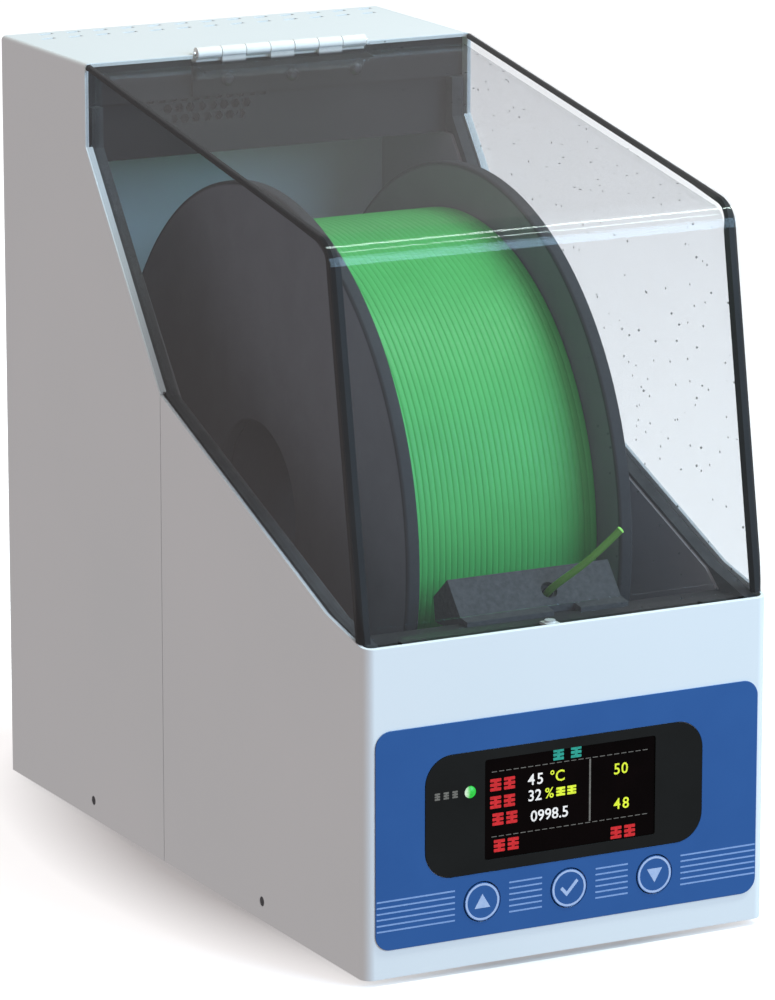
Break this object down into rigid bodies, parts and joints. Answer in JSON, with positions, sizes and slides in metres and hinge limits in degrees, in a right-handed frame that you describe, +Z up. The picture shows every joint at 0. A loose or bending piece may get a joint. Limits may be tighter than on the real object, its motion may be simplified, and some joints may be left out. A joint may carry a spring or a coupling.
{
  "type": "filament dryer",
  "caption": "Bench-top dryer box that holds a spool of printing filament on rollers under a clear hinged lid, with warm air, a scale and a front control panel.",
  "frame": {"origin": "middle of the footprint, on the surface that the feet stand on", "axes": "+X to the right seen from the front, -Y towards the control panel, +Z up"},
  "size_m": [0.135, 0.2523, 0.2463],
  "materials": {
    "white_sheet": "satin powder coat, pale cool white",
    "plain_sheet": "satin powder coat, light grey",
    "insulation": "closed-cell foam, dark grey",
    "dark_sheet": "matte dark grey coat",
    "heater_fins": "folded fins",
    "black_plastic": "moulded, fine grain",
    "black_rubber": "matte",
    "dark_screws": "blackened",
    "cell_metal": "milled",
    "cradle_steel": "bent sheet",
    "axle_steel": "ground bar and pressed hinge sheet",
    "spool_plastic": "recycled plastic, fine grain",
    "green_filament": "semi-gloss strand, wound in close turns",
    "board": "solder mask",
    "screen": "colour screen",
    "window_sheet": "gloss black window",
    "overlay_film": "printed blue film, satin",
    "lamp": "diffused green",
    "button_film": "printed blue film, satin, with a white ring and symbol",
    "guide_plastic": "sintered plastic, fine grain",
    "white_plastic": "plain",
    "rocker_plastic": "moulded red",
    "clear_sheet": "clear acrylic with a light smoke tint"
  },
  "bodies": {
    "housing": {"base_plate": "plain_sheet", "rear_shell": "white_sheet", "front_shell": "white_sheet", "back_panel": "plain_sheet", "roof_rail": "dark_sheet", "insulation_left": "insulation", "insulation_right": "insulation", "liner_left": "dark_sheet", "liner_right": "dark_sheet", "liner_front": "dark_sheet", "liner_rear": "dark_sheet", "heater_duct": "dark_sheet", "ptc_heater": "heater_fins", "fan_frame": "black_plastic", "foot_front_left": "black_rubber", "foot_front_right": "black_rubber", "foot_rear_left": "black_rubber", "foot_rear_right": "black_rubber", "side_screws_left": "dark_screws", "side_screws_right": "dark_screws", "load_cell_left": "cell_metal", "load_cell_right": "cell_metal", "roller_cradle": "cradle_steel", "control_board": "board", "tft_module": "screen", "display_window": "window_sheet", "keypad_overlay": "overlay_film", "status_led": "lamp", "guide_block": "guide_plastic", "guide_tube": "white_plastic", "lid_switch": "white_plastic", "lid_bumper_left": "black_rubber", "lid_bumper_right": "black_rubber", "humidity_sensor": "white_plastic", "power_inlet": "black_plastic", "switch_frame": "black_plastic", "hinge_roof_leaf": "axle_steel", "hinge_screw_left": "dark_screws", "hinge_screw_middle": "dark_screws", "hinge_screw_right": "dark_screws", "filament_strand": "green_filament"},
    "lid": {"lid_cover": "clear_sheet", "hinge_lid_leaf": "axle_steel", "hinge_pin": "axle_steel"},
    "spool": {"flange_left": "spool_plastic", "flange_right": "spool_plastic", "spool_core": "spool_plastic", "bore_sleeve": "spool_plastic", "filament_winding": "green_filament"},
    "front_rollers": {"front_axle": "axle_steel", "front_roller_left": "black_rubber", "front_roller_right": "black_rubber"},
    "rear_rollers": {"rear_axle": "axle_steel", "rear_roller_left": "black_rubber", "rear_roller_right": "black_rubber"},
    "fan": {"fan_rotor": "black_plastic"},
    "key_up": {"button_up": "button_film"},
    "key_ok": {"button_ok": "button_film"},
    "key_down": {"button_down": "button_film"},
    "rocker": {"power_rocker": "rocker_plastic"}
  },
  "joints": [
    {"name": "lid_hinge", "type": "hinge", "parent": "housing", "child": "lid", "pos_m": [0, 0.0622, 0.2444], "axis": [-1, 0, 0], "range_deg": [0, 120]},
    {"name": "spool_spin", "type": "hinge", "parent": "housing", "child": "spool", "pos_m": [0, 0.0044, 0.1132], "axis": [1, 0, 0], "continuous": true},
    {"name": "front_roller_spin", "type": "hinge", "parent": "housing", "child": "front_rollers", "pos_m": [0, -0.05772, 0.02449], "axis": [1, 0, 0], "continuous": true},
    {"name": "rear_roller_spin", "type": "hinge", "parent": "housing", "child": "rear_rollers", "pos_m": [0, 0.06652, 0.02449], "axis": [1, 0, 0], "continuous": true},
    {"name": "fan_spin", "type": "hinge", "parent": "housing", "child": "fan", "pos_m": [-0.0235, 0.0723, 0.2265], "axis": [0, 1, 0], "continuous": true},
    {"name": "key_up_press", "type": "slide", "parent": "housing", "child": "key_up", "axis": [0, 1, 0], "range_m": [0, 0.0005], "stiffness_N_per_m": 600, "springref_m": -0.0005},
    {"name": "key_ok_press", "type": "slide", "parent": "housing", "child": "key_ok", "axis": [0, 1, 0], "range_m": [0, 0.0005], "stiffness_N_per_m": 600, "springref_m": -0.0005},
    {"name": "key_down_press", "type": "slide", "parent": "housing", "child": "key_down", "axis": [0, 1, 0], "range_m": [0, 0.0005], "stiffness_N_per_m": 600, "springref_m": -0.0005},
    {"name": "rocker_tilt", "type": "hinge", "parent": "housing", "child": "rocker", "pos_m": [-0.006, 0.1181, 0.03], "axis": [0, 0, -1], "range_deg": [0, 20]}
  ],
  "couplings": [
    {"joint": "front_roller_spin", "follows": "spool_spin", "ratio": -12.5},
    {"joint": "rear_roller_spin", "follows": "spool_spin", "ratio": -12.5}
  ]
}
